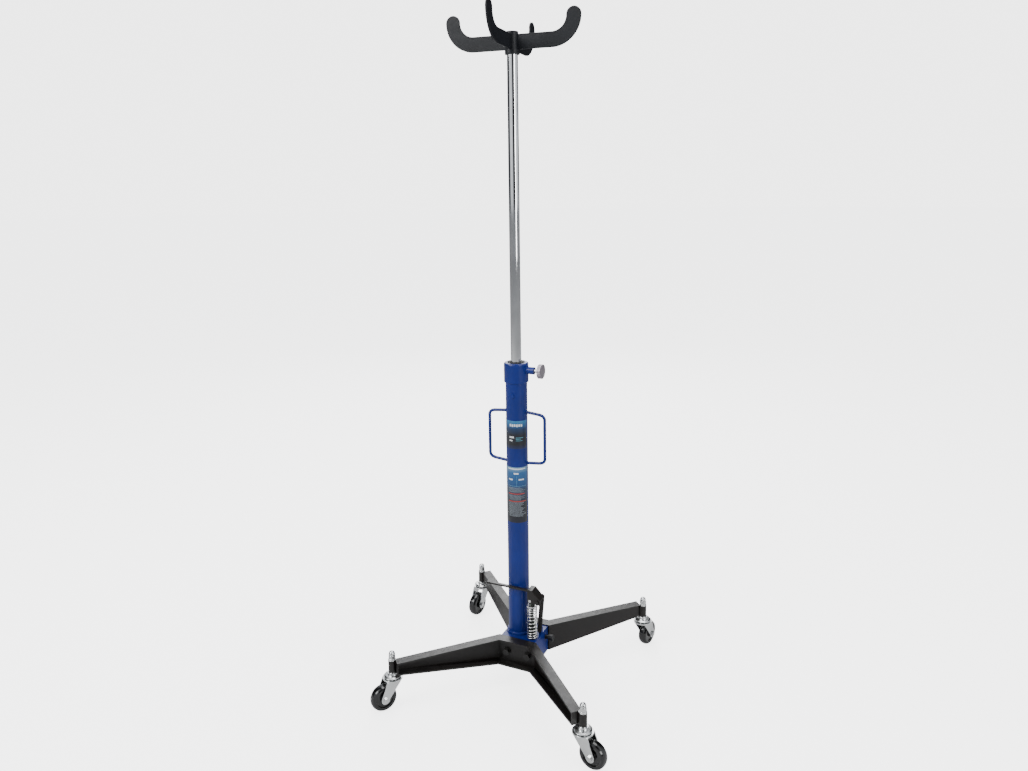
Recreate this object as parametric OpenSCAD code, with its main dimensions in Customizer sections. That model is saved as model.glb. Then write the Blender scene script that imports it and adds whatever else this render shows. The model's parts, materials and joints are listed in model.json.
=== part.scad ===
// Telescopic hydraulic transmission jack on a four-caster base.
// Origin on the floor under the centre of the base, +Z up, -Y towards the front bracket.
// Millimetres. The ram is drawn fully raised.

/* [Column] */
// Outer tube diameter
tube_d = 62; // [60:1:64]
// Column axis offset from the base centre along X
column_x = -17; // [-18:0.5:-16]
// Height of the outer tube's top end
tube_top = 950; // [940:1:952]
// Head collar diameter
collar_d = 70; // [69:1:74]
// Height of the collar's top face
collar_top = 962; // [961:1:970]
// Ram rod diameter
rod_d = 30; // [28:1:30]
// Height of the saddle hub's lower face, ram fully out
saddle_z = 1798; // [1780:1:1800]

/* [Base] */
// Caster stem position along X
stem_x = 284; // [275:1:290]
// Caster stem position along Y
stem_y = 281; // [275:1:290]
// Steel plate thickness of the brackets
plate = 5; // [4.5:0.5:5]
// Depth of the bracket's channel, over the web
channel = 28; // [26:1:30]

/* [Casters] */
// Wheel diameter
wheel_d = 75; // [72:1:76]
// Wheel tread width
wheel_w = 26; // [24:1:26]
// Trail from stem to axle
trail = 30; // [26:1:30]

/* [Saddle] */
// Radius of the straight part of a saddle arm
arm_reach = 110; // [105:1:112]
// Height of a saddle arm plate
arm_h = 40; // [38:1:40]

/* [Hidden] */

fine = 48;
blue = [0.09, 0.17, 0.44];
black = [0.06, 0.06, 0.065];
zinc = [0.75, 0.76, 0.77];
steel = [0.62, 0.62, 0.62];

tube_r = tube_d / 2;
tube_in = tube_r - 3;
block_x = 54;
block_y = 50;
block_z0 = 66;
block_z1 = 143;
bore_z = 90;
cyl_r = 23;
cyl_in = 19;
bend_x = 58;
leg_dx = stem_x - bend_x;
leg_dy = stem_y - block_y;
leg_len = sqrt(leg_dx * leg_dx + leg_dy * leg_dy);
leg_a = atan2(leg_dy, leg_dx);
leg_start = 0.4;
leg_end = leg_len - 8;
pocket_in = 2.1;
pocket_start = 1.6;
end_plate = 3;
brk_z0 = 66;
brk_z1 = 146;
tip_z0 = 107;
tip_z1 = 143;
bolt_x = 33;
bolt_z = 101;
bolt_r = 6;
slack = 0.15;
socket_r = 11;
socket_z0 = 107;
socket_z1 = 142.5;
stem_r = 6;
crown_z1 = 92;
crown_z0 = 88;
race_z0 = 94.6;
ball_r = 2;
ball_ring = 18;
ball_z = 93.3;
axle_z = wheel_d / 2;
pump_x = 36;
pump_y = -27;
spring_z0 = 143;
spring_z1 = 245;
coils = 11.5;
pivot = [58, 0, 266];
pin_z = 266.5;
pedal_y = -37.5;
lock_z = 941;
yaw = 5;
hub_top = saddle_z + 59;
hub_r = 16.5;
spigot_r = 10;
arm_z0 = saddle_z + 12;
CASTERS = [["fl", -1, -1, 235], ["fr", 1, -1, -10], ["rr", 1, 1, 77], ["rl", -1, 1, 262]];

module at_column(z = 0)
{
    translate([column_x, 0, z]) children();
}

module rod_z(r, z0, z1)
{
    translate([0, 0, z0]) cylinder(r = r, h = z1 - z0, $fn = fine);
}

module ring(ro, ri, z0, z1)
{
    difference()
    {
        rod_z(ro, z0, z1);
        rod_z(ri, z0 - 1, z1 + 1);
    }
}

module rod_y(x, z, r, y0, y1)
{
    translate([x, y0, z]) rotate([-90, 0, 0]) cylinder(r = r, h = y1 - y0, $fn = fine);
}

module hex_y(x, z, across, y0, y1)
{
    translate([x, y0, z]) rotate([-90, 0, 0]) cylinder(d = across / cos(30), h = y1 - y0, $fn = 6);
}

module at_stems()
{
    for (sx = [-1, 1])
        for (sy = [-1, 1])
            translate([sx * stem_x, sy * stem_y, 0]) children();
}

module rear_copy()
{
    children();
    rotate([0, 0, 180]) children();
}

// Blue casting that holds the column, the pump and both brackets
module base_block()
{
    color(blue) difference()
    {
        union()
        {
            translate([-block_x, -block_y, block_z0])
                cube([2 * block_x, 2 * block_y, block_z1 - block_z0]);
            translate([44, 2, block_z1 - 1]) cube([9, 12, 20]);
            at_column() rod_z(tube_r + 5, block_z1 - 1, block_z1 + 6);
        }
        at_column() rod_z(tube_r, bore_z, block_z1 + 10);
        translate([pump_x, pump_y, 0]) rod_z(11, block_z1 - 25, block_z1 + 1);
        rear_copy() for (x = [-bolt_x, bolt_x]) rod_y(x, bolt_z, bolt_r, -block_y - 1, -block_y + 15);
        rod_y(49, block_z1 + 13, 3, 1, 15);
        rotate([0, 0, -90]) rod_y(-30, 120, 6.05, block_x - 20, block_x + 1);
    }
}

module outer_tube()
{
    color(blue) at_column() difference()
    {
        ring(tube_r, tube_in, bore_z, tube_top);
        rod_y(0, 871, 4, -tube_r - 1, -tube_in + 3);
        rotate([0, 0, -90]) rod_y(0, lock_z, 5.1, tube_in - 3, tube_r + 1);
    }
}

module inner_cylinder()
{
    color(steel) at_column() union()
    {
        ring(cyl_r, cyl_in, bore_z + 8, 928);
        rod_z(tube_in, bore_z, bore_z + 8);
    }
}

// Blue head collar with the lock-screw boss
module head_collar()
{
    color(blue) at_column() difference()
    {
        union()
        {
            rotate_extrude($fn = fine) polygon([[tube_r, 906], [collar_d / 2 - 1, 906], [collar_d / 2, 907],
                [collar_d / 2, collar_top - 4], [collar_d / 2 - 1.2, collar_top - 1.2],
                [collar_d / 2 - 4, collar_top], [tube_r - 6, collar_top], [tube_r - 6, tube_top],
                [tube_r, tube_top]]);
            rotate([0, 0, -90]) rod_y(0, lock_z, 10.5, tube_r + 1, 56);
        }
        rotate([0, 0, -90]) rod_y(0, lock_z, 5.05, tube_r - 5, 60);
    }
}

module gland_bush()
{
    color(steel) at_column() difference()
    {
        union()
        {
            ring(tube_in, rod_d / 2 + 0.05, 928, tube_top);
            ring(tube_r - 6, rod_d / 2 + 0.05, tube_top, collar_top - 3);
        }
        rotate([0, 0, -90]) rod_y(0, lock_z, 5.1, 10, tube_r + 1);
    }
}

module wiper_seal()
{
    color(black) at_column() ring(tube_r - 7, rod_d / 2 + 0.03, collar_top - 3, collar_top + 1.5);
}

module handle(side)
{
    bar = 4.5;
    out_x = 86;
    in_x = tube_r - 2;
    z_hi = 819;
    z_lo = 668;
    rise = 5;
    r = 14;
    top_z = z_hi - rise;
    bot_z = z_lo + rise;
    color(blue) at_column() mirror([side < 0 ? 1 : 0, 0, 0]) difference()
    {
        union()
        {
            translate([in_x, 0, z_hi]) rotate([0, 90 + 5.6, 0]) cylinder(r = bar, h = 44, $fn = fine);
            translate([in_x, 0, z_lo]) rotate([0, 90 - 5.6, 0]) cylinder(r = bar, h = 44, $fn = fine);
            translate([out_x, 0, bot_z + r]) cylinder(r = bar, h = top_z - bot_z - 2 * r, $fn = fine);
            translate([out_x - r, 0, top_z - r]) rotate([90, 0, 0])
                rotate_extrude(angle = 95.6, $fn = fine) translate([r, 0]) circle(r = bar, $fn = 24);
            translate([out_x - r, 0, bot_z + r]) rotate([90, 0, 0]) rotate([0, 0, -95.6])
                rotate_extrude(angle = 95.6, $fn = fine) translate([r, 0]) circle(r = bar, $fn = 24);
        }
        rod_z(tube_r, z_lo - 20, z_hi + 20);
    }
}

module handle_left()
{
    handle(-1);
}

module handle_right()
{
    handle(1);
}

// Oil filler plug on the front of the tube
module filler_plug()
{
    color(blue) at_column()
    {
        rod_y(0, 871, 3.9, -tube_r - 1, -tube_in + 1);
        difference()
        {
            rod_y(0, 871, 6.5, -tube_r - 3.5, -tube_r + 0.4);
            rod_z(tube_r, 860, 882);
        }
    }
}

module label(z0, z1, span)
{
    at_column() translate([0, 0, z0]) rotate([0, 0, -90 - span / 2])
        rotate_extrude(angle = span, $fn = fine) translate([tube_r, 0]) square([0.3, z1 - z0]);
}

module rating_label()
{
    color(black) label(716, 798, 168);
}

module instruction_label()
{
    color([0.3, 0.35, 0.45]) label(494, 661, 168);
}

// Leg outline in its own plane from x0 outwards, x along the leg, y up, drawn in by t
module leg_plan(t, x0)
{
    rise = (tip_z0 - brk_z0) / leg_end * x0;
    fall = (tip_z1 - brk_z1) / leg_end * x0;
    polygon([[x0, brk_z0 + t + rise], [x0, brk_z1 - t + fall], [leg_end, tip_z1 - t],
        [leg_end, tip_z0 + t]]);
}

module at_leg(sx)
{
    mirror([sx < 0 ? 1 : 0, 0, 0]) translate([bend_x, -block_y, 0]) rotate([0, 0, -leg_a]) children();
}

// One folded plate: centre plate, two legs, flanges turned outwards
module bracket()
{
    color(black) difference()
    {
        union()
        {
            translate([-bend_x, -block_y - channel, brk_z0]) cube([2 * bend_x, channel, brk_z1 - brk_z0]);
            for (sx = [-1, 1])
                at_leg(sx) rotate([90, 0, 0]) linear_extrude(channel) leg_plan(0, leg_start);
        }
        translate([-bend_x + pocket_in, -block_y - channel - 1, brk_z0 + plate])
            cube([2 * (bend_x - pocket_in), channel - plate + 1, brk_z1 - brk_z0 - 2 * plate]);
        for (sx = [-1, 1])
            at_leg(sx) translate([0, -plate, 0]) rotate([90, 0, 0]) linear_extrude(channel)
                intersection()
                {
                    leg_plan(plate, 0);
                    translate([pocket_start, 0]) square([leg_end - end_plate - pocket_start, 200]);
                }
        for (sx = [-1, 1])
            translate([sx * stem_x, -stem_y, 0]) rod_z(socket_r, 90, 160);
        for (x = [-bolt_x, bolt_x])
            rod_y(x, bolt_z, bolt_r + slack, -block_y - plate - 1, -block_y + 1);
    }
}

module bracket_front()
{
    bracket();
}

module bracket_rear()
{
    rotate([0, 0, 180]) bracket();
}

module bracket_bolts()
{
    face = -block_y - plate;
    color(steel) rear_copy() for (x = [-bolt_x, bolt_x])
    {
        rod_y(x, bolt_z, bolt_r, face - 1, -block_y + 14);
        difference()
        {
            rod_y(x, bolt_z, 12, face - 2.5, face);
            rod_y(x, bolt_z, bolt_r, face - 3, face + 1);
        }
        hex_y(x, bolt_z, 18, face - 10, face - 2.5);
    }
}

module caster_sockets()
{
    color(black) at_stems() ring(socket_r, stem_r + slack, socket_z0, socket_z1);
}

module caster_stems()
{
    color(zinc) at_stems()
    {
        rod_z(stem_r, 82, 165);
        rod_z(12, 82, 84.5);
    }
}

module caster_races()
{
    color(zinc) at_stems()
    {
        difference()
        {
            rotate_extrude($fn = fine) polygon([[stem_r, race_z0], [24, race_z0], [24, race_z0 + 2],
                [20, race_z0 + 4.6], [14, race_z0 + 5.4], [14, socket_z0 - 1.4],
                [socket_r, socket_z0 - 1.4], [socket_r, socket_z0], [stem_r, socket_z0]]);
            ball_groove();
        }
    }
}

module bearing_balls()
{
    color(steel) at_stems() for (i = [0:11])
        rotate([0, 0, i * 30]) translate([ball_ring, 0, ball_z]) sphere(r = ball_r, $fn = 24);
}

module ball_groove()
{
    rotate_extrude($fn = fine) translate([ball_ring, ball_z]) circle(r = ball_r + 0.05, $fn = 24);
}

module acorn_nuts()
{
    color(zinc) at_stems() difference()
    {
        union()
        {
            translate([0, 0, 147.5]) cylinder(d = 18 / cos(30), h = 10, $fn = 6);
            translate([0, 0, 157.5]) rotate_extrude($fn = fine) intersection()
            {
                translate([0, 3]) circle(r = 8.9, $fn = fine);
                square([9, 12]);
            }
        }
        rod_z(stem_r, 140, 165);
    }
}

module spring_washers()
{
    color(zinc) at_stems()
    {
        ring(socket_r - 0.1, stem_r + slack, socket_z1, 144.7);
        ring(10, stem_r + slack, 144.7, 147.5);
    }
}

// Pump cylinder, screwed into the block and guiding the plunger
module pump_barrel()
{
    color(steel) translate([pump_x, pump_y, 0]) difference()
    {
        rod_z(11, block_z1 - 25, block_z1 + 45);
        rod_z(6.05, block_z1 - 15, block_z1 + 46);
    }
}

module pump_spring()
{
    wire = 3.2;
    r = 14.2;
    height = spring_z1 - spring_z0;
    reach = wire / 2 / height * coils * 360;
    // Level slice of the wire: its half width at an angle off the wire's centre
    half = [for (k = [-6:6]) [reach * k / 6, wire / 2 * sqrt(max(0.02, 1 - k * k / 36))]];
    slice = concat([for (h = half) (r + h[1]) * [cos(h[0]), sin(h[0])]],
        [for (k = [12:-1:0]) (r - half[k][1]) * [cos(half[k][0]), sin(half[k][0])]]);
    color(steel) translate([pump_x, pump_y, spring_z0])
        linear_extrude(height, twist = -360 * coils, slices = 16 * coils) polygon(slice);
}

module release_valve()
{
    color(black) rotate([0, 0, -90])
    {
        rod_y(-30, 120, 6, block_x - 15, block_x + 12);
        rod_y(-30, 120, 10, block_x + 12, block_x + 26);
    }
}

module ram_rod()
{
    color(zinc) at_column()
    {
        rod_z(rod_d / 2, 900, saddle_z);
        rod_z(spigot_r, saddle_z - 1, saddle_z + 40);
    }
}

module piston()
{
    color(steel) at_column() difference()
    {
        ring(cyl_in - 0.05, rod_d / 2, 900, 925);
        ring(cyl_in + 1, cyl_in - 3, 909, 915);
    }
}

module piston_seal()
{
    color(black) at_column() ring(cyl_in - 0.02, cyl_in - 3, 909, 915);
}

module saddle_hub()
{
    color(black) at_column() difference()
    {
        union()
        {
            rod_z(20, saddle_z + 0.1, arm_z0);
            rod_z(hub_r, arm_z0, hub_top);
        }
        rod_z(spigot_r + 0.05, saddle_z - 1, saddle_z + 40.1);
    }
}

// Curved saddle arm cut from flat plate, standing on edge
module saddle_arm(turn)
{
    zc = 2 * arm_h - 1;
    color(black) at_column(arm_z0) rotate([0, 0, yaw + turn]) difference()
    {
        translate([0, plate / 2, 0]) rotate([90, 0, 0]) linear_extrude(plate)
        {
            translate([15, 0]) square([arm_reach - 15, arm_h]);
            difference()
            {
                translate([arm_reach, zc]) circle(r = zc, $fn = 96);
                translate([arm_reach, zc]) circle(r = zc - arm_h, $fn = 96);
                translate([arm_reach - 100, -10]) square([100, 200]);
                translate([arm_reach - 1, zc]) square([100, 200]);
            }
            translate([arm_reach + zc - arm_h / 2, zc]) circle(r = arm_h / 2, $fn = fine);
        }
        rod_z(hub_r, -1, 60);
    }
}

module saddle_arm_right()
{
    saddle_arm(0);
}

module saddle_arm_rear()
{
    saddle_arm(90);
}

module saddle_arm_left()
{
    saddle_arm(180);
}

module saddle_arm_front()
{
    saddle_arm(270);
}

module lock_screw()
{
    color(zinc) at_column() rotate([0, 0, -90]) rod_y(0, lock_z, 5, rod_d / 2 + 0.4, 72);
}

module lock_knob()
{
    color(zinc) at_column() rotate([0, 0, -90]) difference()
    {
        union()
        {
            rod_y(0, lock_z, 20.5, 70, 81);
            rod_y(0, lock_z, 9, 66, 70);
        }
        rod_y(0, lock_z, 5, 60, 72);
        for (i = [0:23])
            translate([0, 0, lock_z]) rotate([0, i * 15, 0])
                translate([20.7, 60, 0]) rotate([-90, 0, 0]) cylinder(r = 1.1, h = 30, $fn = 4);
    }
}

module pump_plunger()
{
    color(steel) translate([pump_x, pump_y, 0])
    {
        rod_z(6, block_z1 + 10, pin_z - 4.4);
        rod_z(8.5, spring_z1 + 4, pin_z - 4.4);
    }
}

module spring_cap()
{
    color(zinc) translate([pump_x, pump_y, 0]) ring(16.5, 6, spring_z1, spring_z1 + 4);
}

// Foot pedal: a long narrow arm from an inverted channel over the plunger
module foot_pedal()
{
    color(black) difference()
    {
        union()
        {
            translate([-102, pedal_y - 4.5, 294]) cube([132, 9, 5]);
            translate([0, -10, 0]) rotate([90, 0, 0]) linear_extrude(31.5)
                polygon([[28, 299], [42, 299], [68, 272], [68, 258], [56, 258], [44, 259], [28, 261]]);
        }
        translate([0, -13.5, 0]) rotate([90, 0, 0]) linear_extrude(23.5)
            polygon([[10, 295], [40.5, 295], [64.5, 270.5], [80, 266], [80, 240], [10, 240]]);
        rod_y(pivot[0], pivot[2], 4 + 0.05, -50, 0);
        rod_y(pump_x, pin_z, 4, -50, 0);
    }
}

// Cross pin through the pedal that presses the plunger down
module plunger_pin()
{
    color(zinc) rod_y(pump_x, pin_z, 4, -43, -8.5);
}

module fulcrum_pin()
{
    color(zinc)
    {
        rod_y(pivot[0], pivot[2], 4, -44, 3);
        rod_y(pivot[0], pivot[2], 6, -44.5, -41.9);
    }
}

// Flat link from the block lug up to the pedal's fulcrum
module fulcrum_link()
{
    color(black) difference()
    {
        union()
        {
            hull()
            {
                rod_y(49, block_z1 + 13, 6, -4.5, 2);
                rod_y(pivot[0], pivot[2], 6.5, -4.5, 2);
            }
            rod_y(49, block_z1 + 13, 3, 1, 14);
        }
        rod_y(pivot[0], pivot[2], 4, -10, 5);
    }
}

module at_caster(i)
{
    translate([CASTERS[i][1] * stem_x, CASTERS[i][2] * stem_y, 0]) rotate([0, 0, CASTERS[i][3]]) children();
}

module fork(i)
{
    color(zinc) at_caster(i)
    {
        difference()
        {
            ring(28, stem_r + 0.5, crown_z0, crown_z1);
            ball_groove();
        }
        for (s = [-1, 1])
            difference()
            {
                translate([0, s * 18 + 1.5, 0]) rotate([90, 0, 0]) linear_extrude(3) fork_side();
                rod_y(trail, axle_z, 5, -30, 30);
            }
    }
}

module fork_side()
{
    difference()
    {
        union()
        {
            polygon([[-21, crown_z0 + 0.5], [23, crown_z0 + 0.5], [trail + 12, axle_z + 4],
                [trail + 12, axle_z], [trail - 12, axle_z]]);
            translate([trail, axle_z]) circle(r = 12, $fn = fine);
        }
        translate([trail, axle_z]) circle(r = 2, $fn = fine);
    }
}

module axle(i)
{
    color(zinc) at_caster(i)
    {
        rod_y(trail, axle_z, 5, -24, 24);
        hex_y(trail, axle_z, 13, -24, -19.5);
        hex_y(trail, axle_z, 13, 19.5, 24);
    }
}

module wheel(i)
{
    r = wheel_d / 2;
    h = wheel_w / 2;
    color(black) at_caster(i) translate([trail, 0, axle_z]) rotate([90, 0, 0])
        rotate_extrude($fn = 72) polygon([[8, -h - 1], [12, -h - 1], [13, -h + 3], [23, -h + 3],
            [25, -h], [30, -h], [34, -h + 1.5], [36.2, -h + 5], [r - 0.4, -h + 8], [r, -3],
            [r, 3], [r - 0.4, h - 8], [36.2, h - 5], [34, h - 1.5], [30, h], [25, h],
            [23, h - 3], [13, h - 3], [12, h + 1], [8, h + 1]]);
}

module wheel_bush(i)
{
    color(steel) at_caster(i) translate([trail, 0, axle_z]) rotate([90, 0, 0])
        ring(8, 5.05, -wheel_w / 2 - 2, wheel_w / 2 + 2);
}

base_block();
outer_tube();
inner_cylinder();
head_collar();
gland_bush();
wiper_seal();
handle_left();
handle_right();
filler_plug();
rating_label();
instruction_label();
bracket_front();
bracket_rear();
bracket_bolts();
caster_sockets();
caster_stems();
caster_races();
bearing_balls();
acorn_nuts();
spring_washers();
pump_barrel();
pump_spring();
fulcrum_link();
release_valve();
ram_rod();
piston();
piston_seal();
saddle_hub();
saddle_arm_right();
saddle_arm_rear();
saddle_arm_left();
saddle_arm_front();
lock_screw();
lock_knob();
pump_plunger();
spring_cap();
foot_pedal();
fulcrum_pin();
plunger_pin();
fork(0);  // fork_fl
axle(0);  // axle_fl
wheel(0);  // wheel_fl
wheel_bush(0);  // wheel_bush_fl
fork(1);  // fork_fr
axle(1);  // axle_fr
wheel(1);  // wheel_fr
wheel_bush(1);  // wheel_bush_fr
fork(2);  // fork_rr
axle(2);  // axle_rr
wheel(2);  // wheel_rr
wheel_bush(2);  // wheel_bush_rr
fork(3);  // fork_rl
axle(3);  // axle_rl
wheel(3);  // wheel_rl
wheel_bush(3);  // wheel_bush_rl
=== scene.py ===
import json
import math
import random

import bmesh
import bpy
from mathutils import Matrix, Vector


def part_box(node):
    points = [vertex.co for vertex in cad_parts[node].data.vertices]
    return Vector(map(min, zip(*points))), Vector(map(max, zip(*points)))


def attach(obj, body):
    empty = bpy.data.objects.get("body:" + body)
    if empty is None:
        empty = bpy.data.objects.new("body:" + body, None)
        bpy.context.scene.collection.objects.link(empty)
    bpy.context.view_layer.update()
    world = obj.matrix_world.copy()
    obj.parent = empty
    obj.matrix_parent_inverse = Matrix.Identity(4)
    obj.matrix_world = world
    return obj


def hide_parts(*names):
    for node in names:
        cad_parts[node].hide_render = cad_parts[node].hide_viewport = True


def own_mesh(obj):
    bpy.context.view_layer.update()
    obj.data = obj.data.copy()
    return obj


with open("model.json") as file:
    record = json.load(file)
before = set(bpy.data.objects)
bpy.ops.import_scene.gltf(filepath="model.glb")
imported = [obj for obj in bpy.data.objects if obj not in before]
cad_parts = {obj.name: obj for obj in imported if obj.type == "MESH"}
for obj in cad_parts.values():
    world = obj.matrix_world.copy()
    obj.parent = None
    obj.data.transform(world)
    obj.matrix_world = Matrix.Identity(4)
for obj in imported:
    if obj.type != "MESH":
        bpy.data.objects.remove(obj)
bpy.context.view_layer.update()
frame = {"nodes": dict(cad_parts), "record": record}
NODES = frame["nodes"]
SLOTS = {part["node"]: part["material_slot"] for part in frame["record"]["subparts"]}
BODIES = frame["record"]["behaviour"]["bodies"]
BODY_OF = {node: body for body, names in BODIES.items() for node in names}

# Places on the object, in metres, as the CAD has them
MM = 0.001
COLUMN_X = -17 * MM
TUBE_R = 31 * MM
BLOCK_RIM_Z = 0.149
COLLAR_Z = 0.906
LOCK_Z = 0.941
HANDLE_ENDS = ((0.819, "top"), (0.668, "bottom"))
RATING_Z = (0.716, 0.798)
NOTES_Z = (0.494, 0.661)
STEM_X = 0.284
STEM_Y = 0.281
SOCKET_WELD_Z = (0.109, 0.141)
CASTER_SIDES = ((-1, -1), (1, -1), (1, 1), (-1, 1))
CASTER_TAGS = ("fl", "fr", "rr", "rl")

SHARP_ANGLE = 35
BEVEL_ANGLE = 38
random.seed(7)


# ---------- materials ----------

class Shader:
    """A small helper round one material's node tree."""

    def __init__(self, name, rough, metal=0.0, coat=0.0, coat_rough=0.05, specular=0.5):
        self.mat = bpy.data.materials.new(name)
        self.mat.use_nodes = True
        self.tree = self.mat.node_tree
        self.bsdf = self.tree.nodes["Principled BSDF"]
        self.bsdf.inputs["Roughness"].default_value = rough
        self.bsdf.inputs["Metallic"].default_value = metal
        self.bsdf.inputs["Coat Weight"].default_value = coat
        self.bsdf.inputs["Coat Roughness"].default_value = coat_rough
        self.bsdf.inputs["Specular IOR Level"].default_value = specular
        self.coords = self.node("ShaderNodeTexCoord").outputs["Object"]

    def node(self, kind, **inputs):
        made = self.tree.nodes.new(kind)
        for key, value in inputs.items():
            made.inputs[key.replace("_", " ")].default_value = value
        return made

    def link(self, source, target):
        self.tree.links.new(source, target)

    def noise(self, scale, detail=4.0, stretch=(1, 1, 1)):
        mapping = self.node("ShaderNodeMapping")
        mapping.inputs["Scale"].default_value = stretch
        self.link(self.coords, mapping.inputs["Vector"])
        made = self.node("ShaderNodeTexNoise", Scale=scale, Detail=detail)
        self.link(mapping.outputs["Vector"], made.inputs["Vector"])
        return made.outputs["Fac"]

    def ramp(self, source, stops):
        made = self.node("ShaderNodeValToRGB")
        ramp = made.color_ramp
        while len(ramp.elements) < len(stops):
            ramp.elements.new(0.5)
        for element, (place, colour) in zip(ramp.elements, stops):
            element.position = place
            element.color = (*colour, 1)
        self.link(source, made.inputs["Fac"])
        return made.outputs["Color"]

    def colour(self, source):
        self.link(source, self.bsdf.inputs["Base Color"])

    def vary_rough(self, source, low, high):
        made = self.node("ShaderNodeMapRange")
        made.inputs["To Min"].default_value = low
        made.inputs["To Max"].default_value = high
        self.link(source, made.inputs["Value"])
        self.link(made.outputs["Result"], self.bsdf.inputs["Roughness"])

    def bump(self, source, strength, distance):
        made = self.node("ShaderNodeBump", Strength=strength, Distance=distance)
        self.link(source, made.inputs["Height"])
        self.link(made.outputs["Normal"], self.bsdf.inputs["Normal"])


def shade(colour, factor):
    return tuple(min(1.0, part * factor) for part in colour)


def paint(name, colour, rough, grain_scale, grain, coat=0.0, specular=0.5):
    s = Shader(name, rough, coat=coat, specular=specular)
    mottled = s.noise(9, 5)
    s.colour(s.ramp(mottled, [(0.3, shade(colour, 0.8)), (0.7, shade(colour, 1.2))]))
    s.vary_rough(s.noise(40, 6), rough * 0.8, min(1.0, rough * 1.3))
    s.bump(s.noise(grain_scale, 3), grain, 0.0004)
    return s.mat


def metal(name, colour, rough, stretch=(1, 1, 1), scale=300, grain=0.1):
    s = Shader(name, rough, metal=1.0)
    s.colour(s.ramp(s.noise(14, 5), [(0.3, shade(colour, 0.86)), (0.7, shade(colour, 1.06))]))
    s.vary_rough(s.noise(60, 4, stretch), rough * 0.65, rough * 1.5)
    s.bump(s.noise(scale, 2, stretch), grain, 0.0002)
    return s.mat


def sticker_bands(name, heights, stops):
    """Sticker film printed in soft level bands between two heights."""
    s = Shader(name, 0.32, coat=0.3)
    split = s.node("ShaderNodeSeparateXYZ")
    s.link(s.coords, split.inputs["Vector"])
    place = s.node("ShaderNodeMapRange")
    place.inputs["From Min"].default_value = heights[0]
    place.inputs["From Max"].default_value = heights[1]
    s.link(split.outputs["Z"], place.inputs["Value"])
    s.colour(s.ramp(place.outputs["Result"], stops))
    s.bump(s.noise(300, 2), 0.05, 0.0002)
    return s.mat


PAINTS = {
    "blue_paint": dict(colour=(0.0025, 0.016, 0.17), rough=0.36, grain_scale=500, grain=0.10,
                       coat=0.12, specular=0.35),
    "black_paint": dict(colour=(0.009, 0.0072, 0.0064), rough=0.34, grain_scale=900, grain=0.3),
    "saddle_paint": dict(colour=(0.008, 0.009, 0.012), rough=0.42, grain_scale=900, grain=0.35,
                         specular=0.3),
    "black_wheel": dict(colour=(0.003, 0.003, 0.0033), rough=0.14, grain_scale=120, grain=0.05,
                        coat=0.6),
    "seal_rubber": dict(colour=(0.012, 0.012, 0.012), rough=0.7, grain_scale=700, grain=0.3),
    "bolt_black": dict(colour=(0.008, 0.007, 0.006), rough=0.3, grain_scale=500, grain=0.3),
    "valve_black": dict(colour=(0.01, 0.01, 0.011), rough=0.4, grain_scale=500, grain=0.3),
}
METALS = {
    "chrome_rod": dict(colour=(0.86, 0.87, 0.88), rough=0.07, stretch=(1, 1, 0.02), scale=220,
                       grain=0.03),
    "zinc_plate": dict(colour=(0.80, 0.81, 0.81), rough=0.22, scale=220, grain=0.12),
    "machined_steel": dict(colour=(0.4, 0.4, 0.4), rough=0.34, stretch=(1, 1, 12), scale=160,
                           grain=0.2),
    # machined steel darkened to near black as painted shade, for the pump barrel and plunger under the
    # pedal
    "shade_darkened_steel": dict(colour=(0.05, 0.055, 0.05), rough=0.3, stretch=(1, 1, 12), scale=160,
                        grain=0.2),
    "knob_metal": dict(colour=(0.42, 0.38, 0.42), rough=0.34, scale=700, grain=0.3),
    "bright_steel": dict(colour=(0.78, 0.78, 0.78), rough=0.2, scale=400, grain=0.12),
}
RATING_BANDS = [(0.0, (0.004, 0.012, 0.07)), (0.15, (0.002, 0.003, 0.008)), (0.5, (0.002, 0.005, 0.014)),
                (0.72, (0.003, 0.03, 0.1)), (0.82, (0.01, 0.09, 0.24)), (1.0, (0.03, 0.2, 0.42))]
NOTES_BANDS = [(0.0, (0.002, 0.004, 0.02)), (0.08, (0.003, 0.005, 0.012)), (0.3, (0.008, 0.011, 0.018)),
               (0.6, (0.02, 0.04, 0.08)), (0.68, (0.006, 0.06, 0.19)), (0.9, (0.012, 0.11, 0.3)),
               (0.97, (0.16, 0.3, 0.45))]
MATERIALS = {name: paint(name, **look) for name, look in PAINTS.items()}
MATERIALS |= {name: metal(name, **look) for name, look in METALS.items()}
MATERIALS["rating_sticker"] = sticker_bands("rating_label_film", RATING_Z, RATING_BANDS)
MATERIALS["instruction_sticker"] = sticker_bands("instruction_label_film", NOTES_Z, NOTES_BANDS)


def ink(name, colour):
    return paint(name, colour, rough=0.4, grain_scale=400, grain=0.03)


for node_name, obj in NODES.items():
    obj.data.materials.clear()
    obj.data.materials.append(MATERIALS[SLOTS[node_name]])
    obj.data.shade_smooth()
    obj.data.set_sharp_from_angle(angle=math.radians(SHARP_ANGLE))
# the pump barrel and plunger under the pedal head take the darkened steel: their near-black colour is
# painted shade
for node_name in ("pump_barrel", "pump_plunger"):
    NODES[node_name].data.materials[0] = MATERIALS["shade_darkened_steel"]
NODES["fulcrum_pin"].data.materials[0] = MATERIALS["bolt_black"]


# ---------- mesh helpers ----------

def make(name, mesh, body, slot, material=None, stands_for=()):
    obj = bpy.data.objects.new(name, mesh)
    bpy.context.scene.collection.objects.link(obj)
    mesh.materials.clear()
    mesh.materials.append(material or MATERIALS[slot])
    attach(obj, body)
    if stands_for:
        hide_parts(*stands_for)
    return obj


def from_bmesh(name, bm, body, slot, material=None, stands_for=(),
               sharp=SHARP_ANGLE):
    bmesh.ops.recalc_face_normals(bm, faces=bm.faces)
    mesh = bpy.data.meshes.new(name)
    bm.to_mesh(mesh)
    bm.free()
    mesh.shade_smooth()
    mesh.set_sharp_from_angle(angle=math.radians(sharp))
    return make(name, mesh, body, slot, material, stands_for)


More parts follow.
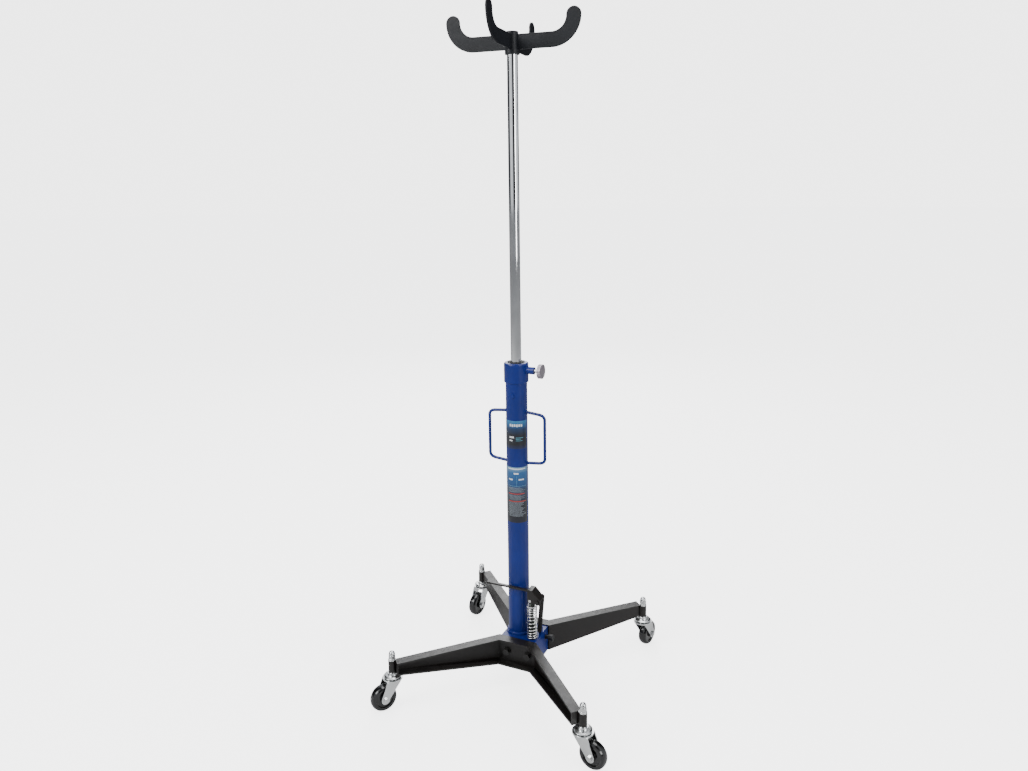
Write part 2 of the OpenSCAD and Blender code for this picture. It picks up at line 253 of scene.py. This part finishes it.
def soften(node, width, segments):
    """A copy of a CAD node with its hard edges rolled over, shown in the node's place."""
    bm = bmesh.new()
    bm.from_mesh(NODES[node].data)
    bmesh.ops.remove_doubles(bm, verts=bm.verts, dist=0.02 * MM)
    bmesh.ops.dissolve_limit(bm, angle_limit=math.radians(1), verts=bm.verts, edges=bm.edges)
    mesh = bpy.data.meshes.new(node + "_edges")
    bm.to_mesh(mesh)
    bm.free()
    mesh.materials.clear()
    mesh.shade_smooth()
    scratch = bpy.data.objects.new("scratch", mesh)
    bpy.context.scene.collection.objects.link(scratch)
    bevel = scratch.modifiers.new("bevel", "BEVEL")
    bevel.width = width
    bevel.segments = segments
    bevel.limit_method = "ANGLE"
    bevel.angle_limit = math.radians(BEVEL_ANGLE)
    bevel.use_clamp_overlap = True
    weighted = scratch.modifiers.new("weighted", "WEIGHTED_NORMAL")
    weighted.keep_sharp = True
    weighted.weight = 100
    bpy.context.view_layer.update()
    final = scratch.evaluated_get(bpy.context.evaluated_depsgraph_get())
    shaped = bpy.data.meshes.new_from_object(final)
    bpy.data.objects.remove(scratch)
    shaped.name = node + "_rounded"
    return make(node + "_rounded", shaped, BODY_OF[node], SLOTS[node], stands_for=(node,))


def sweep(bm, path, radius, sides, closed=False, wobble=0.0):
    """Adds a round tube along a list of points."""
    rings = []
    count = len(path)
    side = None
    for i, point in enumerate(path):
        ahead = path[(i + 1) % count] if closed or i < count - 1 else point
        behind = path[i - 1] if closed or i > 0 else point
        along = (ahead - behind).normalized()
        if side is None:
            side = along.orthogonal().normalized()
        side = (side - along * side.dot(along)).normalized()
        up = along.cross(side)
        r = radius * (1 + wobble * random.uniform(-1, 1))
        rings.append([bm.verts.new(point + (side * math.cos(a) + up * math.sin(a)) * r)
                      for a in (2 * math.pi * k / sides for k in range(sides))])
    last = count if closed else count - 1
    for i in range(last):
        a, b = rings[i], rings[(i + 1) % count]
        shift = 0
        if closed and i == count - 1:
            shift = min(range(sides), key=lambda s: (b[s].co - a[0].co).length)
        for k in range(sides):
            bm.faces.new((a[k], a[(k + 1) % sides], b[(k + 1 + shift) % sides], b[(k + shift) % sides]))
    if not closed:
        bm.faces.new(rings[0][::-1])
        bm.faces.new(rings[-1])


WELD_SIDES = 8
WELD_RIPPLE = 0.13
WELD_SHARP = 80
WELD_STEP = 0.0018


def weld_ring(name, centre, axis, radius, bead, body, slot, steps=64):
    """A fillet weld bead round a joint, with a slight ripple."""
    axis = Vector(axis).normalized()
    u = axis.orthogonal().normalized()
    v = axis.cross(u)
    path = [Vector(centre) + (u * math.cos(a) + v * math.sin(a)) * radius
            for a in (2 * math.pi * k / steps for k in range(steps))]
    bm = bmesh.new()
    sweep(bm, path, bead, WELD_SIDES, closed=True, wobble=WELD_RIPPLE)
    return from_bmesh(name, bm, body, slot, sharp=WELD_SHARP)


def weld_line(name, start, end, bead, body, slot):
    """A straight fillet weld bead with the same ripple."""
    steps = max(4, int((end - start).length / WELD_STEP))
    bm = bmesh.new()
    sweep(bm, [start.lerp(end, k / steps) for k in range(steps + 1)], bead, WELD_SIDES,
          wobble=WELD_RIPPLE)
    return from_bmesh(name, bm, body, slot, sharp=WELD_SHARP)


# ---------- column, collar, handles ----------

def dress_column():
    foot = (COLUMN_X, 0, BLOCK_RIM_Z)
    collar = (COLUMN_X, 0, COLLAR_Z)
    boss = (COLUMN_X + 34.6 * MM, 0, LOCK_Z)
    upright, sideways = (0, 0, 1), (1, 0, 0)
    for name, centre, axis, radius, bead, steps in (
            ("weld_collar", collar, upright, TUBE_R + 0.6 * MM, 1.1 * MM, 90),
            ("weld_column_foot", foot, upright, TUBE_R + 1.2 * MM, 2.4 * MM, 90),
            ("weld_boss", boss, sideways, 10.8 * MM, 1.6 * MM, 40)):
        weld_ring(name, centre, axis, radius, bead, "base", "blue_paint", steps)
    for side, name in ((-1, "left"), (1, "right")):
        for z, end in HANDLE_ENDS:
            centre = (COLUMN_X + side * (TUBE_R + 0.3 * MM), 0, z)
            weld_ring(f"weld_handle_{name}_{end}", centre, sideways, 4.6 * MM, 1.5 * MM,
                      "base", "blue_paint", 28)


# Print is drawn as thin patches: how far their front and back stand off the tube, the degrees
# between their points, and the degrees that the print's middle is turned from the front
PRINT_FRONT = 0.36 * MM
PRINT_BACK = 0.2 * MM
PATCH_STEP = 6
FACING = 24


def tube_patch(bm, z0, z1, a0, a1):
    """A thin curved plate on the tube's skin between two heights and two angles from the front."""
    steps = max(2, int(abs(a1 - a0) / PATCH_STEP))
    corners = []
    for k in range(steps + 1):
        a = math.radians(-90 + a0 + (a1 - a0) * k / steps)
        column = []
        for r in (TUBE_R + PRINT_BACK, TUBE_R + PRINT_FRONT):
            for z in (z0, z1):
                column.append(bm.verts.new((COLUMN_X + r * math.cos(a), r * math.sin(a), z)))
        corners.append(column)
    for a, b in zip(corners, corners[1:]):
        for i, j in ((0, 1), (1, 3), (3, 2), (2, 0)):
            bm.faces.new((a[i], a[j], b[j], b[i]))
    for a in (corners[0], corners[-1]):
        bm.faces.new((a[0], a[1], a[3], a[2]))


def print_marks(name, slot, colour, patches):
    """Patches of one ink: lower and upper height, then first and last angle."""
    bm = bmesh.new()
    for z0, z1, a0, a1 in patches:
        tube_patch(bm, z0, z1, a0 + FACING, a1 + FACING)
    from_bmesh(name, bm, "base", slot, ink(name + "_ink", colour))


def dress_labels():
    """Plain bars and rows of small print on both stickers, with no lettering."""
    white = (0.8, 0.82, 0.85)
    blocks = [(0.7815 - 0.0006 * (k % 2), 0.7885, a, a + 9) for k, a in enumerate(range(-40, 30, 12))]
    blocks += [(0.7475, 0.7525, -42, -16), (0.738, 0.7425, -42, -24)]
    print_marks("rating_print", "rating_sticker", white, blocks)
    print_marks("rating_small_print", "rating_sticker", (0.12, 0.4, 0.5),
                [(0.748, 0.7495, -6, 34), (0.744, 0.7452, -6, 22), (0.7395, 0.7407, -6, 30)])
    print_marks("heading_print", "instruction_sticker", white,
                [(0.6545, 0.6575, -55, 45), (0.640, 0.6445, -20, 6),
                 (0.622, 0.6262, -50, -26), (0.622, 0.6262, 6, 36)])
    top, bottom, row, height, gap = 0.5995, 0.512, 2.6 * MM, 0.7 * MM, 3 * MM
    warnings = (0.581, 0.5585)
    lines = []
    z = top
    while z > bottom:
        if all(abs(z - place) > gap for place in warnings):
            end = random.uniform(14, 52)
            lines.append((z, z + height, -54 + random.uniform(0, 6), end))
        z -= row
    print_marks("body_print", "instruction_sticker", (0.3, 0.34, 0.38), lines)
    print_marks("warning_print", "instruction_sticker", (0.45, 0.05, 0.04),
                [(0.580, 0.5825, -54, 40), (0.5575, 0.560, -54, 48)])
    print_marks("panel_edges", "instruction_sticker", (0.2, 0.5, 0.75),
                [(0.6045, 0.605, -56, 50), (0.604, 0.634, -4.5, -3.8)])


# ---------- base, pump, pedal ----------

def coil_spring():
    """The pump's return spring as a smooth wire with closed ends."""
    low, high = (Vector(corner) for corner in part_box("pump_spring"))
    centre = (low + high) / 2
    wire = 1.6 * MM
    radius = (high.x - low.x) / 2 - wire
    turns = 11.5
    closing = 0.045
    steps = int(turns * 26)
    bottom, top = low.z + wire, high.z - wire
    path = []
    for k in range(steps + 1):
        t = k / steps
        eased = min(1.0, max(0.0, t - closing * math.sin(2 * math.pi * t)))
        a = 2 * math.pi * turns * t
        path.append(Vector((centre.x + radius * math.cos(a), centre.y + radius * math.sin(a),
                            bottom + (top - bottom) * eased)))
    bm = bmesh.new()
    sweep(bm, path, wire, 10)
    spring = from_bmesh("pump_coil", bm, "base", "bright_steel", stands_for=("pump_spring",), sharp=60)
    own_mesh(spring)


def caster_welds():
    """Two upright beads where each caster socket meets its leg."""
    low, high = (Vector((0, 0, z)) for z in SOCKET_WELD_Z)
    for index, (sx, sy) in enumerate(CASTER_SIDES):
        stem = Vector((sx * STEM_X, sy * STEM_Y, 0))
        inward = Vector((-sx, -sy * 1.02, 0)).normalized()
        across = Vector((inward.y, -inward.x, 0))
        for turn, tag in ((-1, "a"), (1, "b")):
            foot = stem + (inward * 0.93 + across * turn * 0.36).normalized() * 11.2 * MM
            weld_line(f"weld_socket_{index}_{tag}", foot + low, foot + high, 1.6 * MM,
                      "base", "black_paint")


# Nodes whose hard edges are rolled over: node, edge width in millimetres, segments
ROUNDED = [("bracket_front", 1.6, 3), ("bracket_rear", 1.6, 3), ("base_block", 2.2, 3),
           ("foot_pedal", 1.0, 3), ("fulcrum_link", 0.7, 2)]
ROUNDED += [("saddle_arm_" + name, 0.9, 3) for name in ("front", "right", "rear", "left")]
for caster in CASTER_TAGS:
    ROUNDED += [("fork_" + caster, 1.1, 3), ("axle_" + caster, 0.7, 2)]
ROUNDED += [("bracket_bolts", 0.8, 2), ("acorn_nuts", 0.9, 2), ("saddle_hub", 0.9, 3),
            ("filler_plug", 0.8, 3), ("lock_knob", 0.5, 2), ("spring_washers", 0.5, 2)]


def round_edges():
    for node, width, segments in ROUNDED:
        soften(node, width * MM, segments)


dress_column()
dress_labels()
coil_spring()
caster_welds()
round_edges()


# ---------- floor, light, camera ----------

FLOOR_R = 40
FLOOR_GLOW = 3.4
SKY_GLOW = 3.9
BAND_TURN = 0.35
BAND_COUNT = 3.0
BAND_DARK = 0.03
BAND_BRIGHT = 1.0

# Name, place, target, width, power, height as a share of the width
LIGHTS = (
    ("key", (-2.2, -3.0, 3.4), (0, 0, 0.7), 2.2, 130, 1.0),
    ("side", (3.4, -1.6, 2.0), (0, 0, 0.9), 1.1, 60, 2.2),
    ("top", (0, 0.4, 4.6), (0, 0, 0), 3.0, 100, 1.0),
    ("back", (-1.6, 3.4, 2.6), (0, 0, 0.9), 1.8, 60, 1.0),
)

SENSOR_WIDTH = 36
LENS = 28.012
SHIFT_Y = -0.0715
CAMERA_PLACE = (0.89674, -2.00970, 1.46866)
# Turn from the front, downward pitch and roll, in degrees
CAMERA_TURN = (24.557, 9.348, -0.727)


def floor_paper():
    """Lit white paper; what the object mirrors of it is a plain mid grey."""
    s = Shader("floor_paper", 0.8)
    s.colour(s.ramp(s.noise(2, 2), [(0.3, (0.895, 0.895, 0.895)), (0.7, (0.9, 0.9, 0.9))]))
    s.bsdf.inputs["Emission Color"].default_value = (1, 1, 1, 1)
    s.bsdf.inputs["Emission Strength"].default_value = FLOOR_GLOW
    grey = s.node("ShaderNodeBsdfDiffuse")
    grey.inputs["Color"].default_value = (0.55, 0.55, 0.55, 1)
    path = s.node("ShaderNodeLightPath")
    mix = s.node("ShaderNodeMixShader")
    s.link(path.outputs["Is Camera Ray"], mix.inputs["Fac"])
    s.link(grey.outputs["BSDF"], mix.inputs[1])
    s.link(s.bsdf.outputs["BSDF"], mix.inputs[2])
    s.link(mix.outputs["Shader"], s.tree.nodes["Material Output"].inputs["Surface"])
    return s.mat


def floor():
    bm = bmesh.new()
    bmesh.ops.create_circle(bm, cap_ends=True, segments=96, radius=FLOOR_R)
    mesh = bpy.data.meshes.new("floor")
    bm.to_mesh(mesh)
    bm.free()
    obj = bpy.data.objects.new("floor", mesh)
    bpy.context.scene.collection.objects.link(obj)
    mesh.materials.append(floor_paper())


def soft_light(name, place, target, size, power, shape):
    data = bpy.data.lights.new(name, "AREA")
    data.shape = "RECTANGLE"
    data.size = size
    data.size_y = size * shape
    data.energy = power
    obj = bpy.data.objects.new(name, data)
    obj.location = place
    obj.rotation_mode = "QUATERNION"
    aim = Vector(target) - Vector(place)
    obj.rotation_quaternion = aim.to_track_quat("-Z", "Y")
    bpy.context.scene.collection.objects.link(obj)


def light_bands(nodes, links):
    """Room light that goes from bright panels to dark gaps as one turns round."""
    split = nodes.new("ShaderNodeSeparateXYZ")
    links.new(nodes.new("ShaderNodeTexCoord").outputs["Generated"], split.inputs["Vector"])
    value = None
    for operation, second in (("ARCTAN2", None), ("ADD", BAND_TURN),
                              ("MULTIPLY", BAND_COUNT), ("SINE", None)):
        step = nodes.new("ShaderNodeMath")
        step.operation = operation
        if value is None:
            links.new(split.outputs["Y"], step.inputs[0])
            links.new(split.outputs["X"], step.inputs[1])
        else:
            links.new(value, step.inputs[0])
            if second is not None:
                step.inputs[1].default_value = second
        value = step.outputs["Value"]
    level = nodes.new("ShaderNodeMapRange")
    level.inputs["From Min"].default_value = -0.5
    level.inputs["From Max"].default_value = 0.6
    level.inputs["To Min"].default_value = BAND_DARK
    level.inputs["To Max"].default_value = BAND_BRIGHT
    links.new(value, level.inputs["Value"])
    return level.outputs["Result"]


def studio():
    """White where the camera sees past the object, banded grey room light everywhere else."""
    world = bpy.data.worlds.new("studio")
    bpy.context.scene.world = world
    world.use_nodes = True
    nodes, links = world.node_tree.nodes, world.node_tree.links
    out = nodes["World Output"]
    seen = nodes["Background"]
    seen.inputs["Color"].default_value = (1, 1, 1, 1)
    seen.inputs["Strength"].default_value = SKY_GLOW
    fill = nodes.new("ShaderNodeBackground")
    fill.inputs["Color"].default_value = (0.93, 0.96, 1, 1)
    links.new(light_bands(nodes, links), fill.inputs["Strength"])
    path = nodes.new("ShaderNodeLightPath")
    mix = nodes.new("ShaderNodeMixShader")
    links.new(path.outputs["Is Camera Ray"], mix.inputs["Fac"])
    links.new(fill.outputs["Background"], mix.inputs[1])
    links.new(seen.outputs["Background"], mix.inputs[2])
    links.new(mix.outputs["Shader"], out.inputs["Surface"])
    for light in LIGHTS:
        soft_light(*light)


def camera():
    """Placed and tilted so that the object is seen from its front right, a little above."""
    azimuth, pitch, roll = (math.radians(v) for v in CAMERA_TURN)
    data = bpy.data.cameras.new("camera")
    data.sensor_width = SENSOR_WIDTH
    data.lens = LENS
    data.shift_y = SHIFT_Y
    obj = bpy.data.objects.new("camera", data)
    bpy.context.scene.collection.objects.link(obj)
    level = math.cos(pitch)
    back = Vector((math.sin(azimuth) * level, -math.cos(azimuth) * level, math.sin(pitch)))
    right = Vector((math.cos(azimuth), math.sin(azimuth), 0))
    up = back.cross(right)
    x = right * math.cos(roll) + up * math.sin(roll)
    y = up * math.cos(roll) - right * math.sin(roll)
    turn = Matrix((x, y, back)).transposed().to_4x4()
    obj.matrix_world = Matrix.Translation(CAMERA_PLACE) @ turn
    bpy.context.scene.camera = obj


floor()
studio()
camera()
